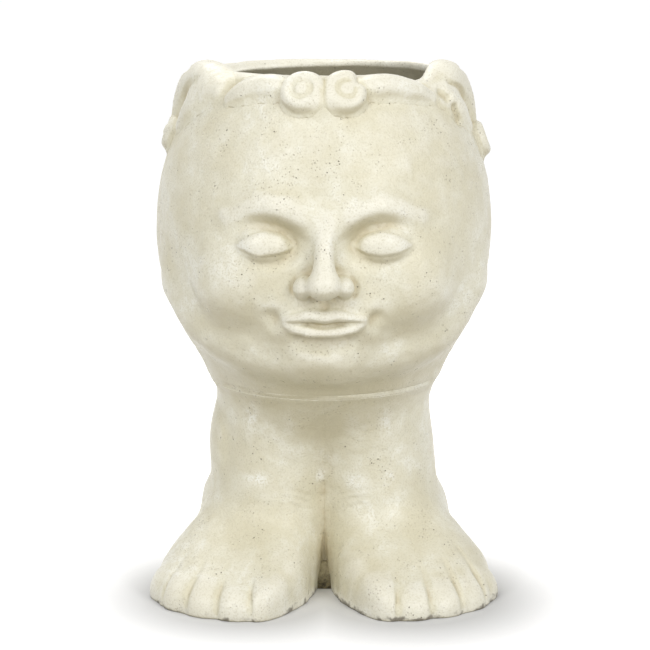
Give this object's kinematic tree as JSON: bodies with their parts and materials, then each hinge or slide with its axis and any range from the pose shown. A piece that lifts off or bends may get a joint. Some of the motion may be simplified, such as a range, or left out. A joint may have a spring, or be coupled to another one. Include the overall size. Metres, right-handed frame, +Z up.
{
  "type": "head planter",
  "caption": "Cast cement planter: a round head-shaped bowl with a calm face and curled hair, standing on a pair of bare feet, with a rubber plug in its drain hole.",
  "frame": {"origin": "on the floor under the bowl's upright axis, in the plane of the soles", "axes": "+Z up, the face and toes look to -Y, +X is the viewer's right"},
  "size_m": [0.2034, 0.2074, 0.3025],
  "materials": {
    "cast_cement": "aged cream paint on cast cement, satin, with a tan wash in the hollows",
    "mortar": "rough bare cement mortar",
    "rubber": "matt black rubber"
  },
  "bodies": {
    "pot": {"head_pot": "cast_cement", "left_leg": "cast_cement", "right_leg": "cast_cement", "neck_mortar_bed": "cast_cement", "foot_mortar_web": "mortar", "left_front_curl": "cast_cement", "right_front_curl": "cast_cement", "left_side_curl": "cast_cement", "right_side_curl": "cast_cement", "left_brow_lock": "cast_cement", "right_brow_lock": "cast_cement", "left_temple_lock": "cast_cement", "right_temple_lock": "cast_cement"},
    "plug": {"drain_plug": "rubber"}
  },
  "joints": [
    {"name": "plug_lift", "type": "slide", "parent": "pot", "child": "plug", "axis": [0, 0, 1], "range_m": [0, 0.18]}
  ]
}
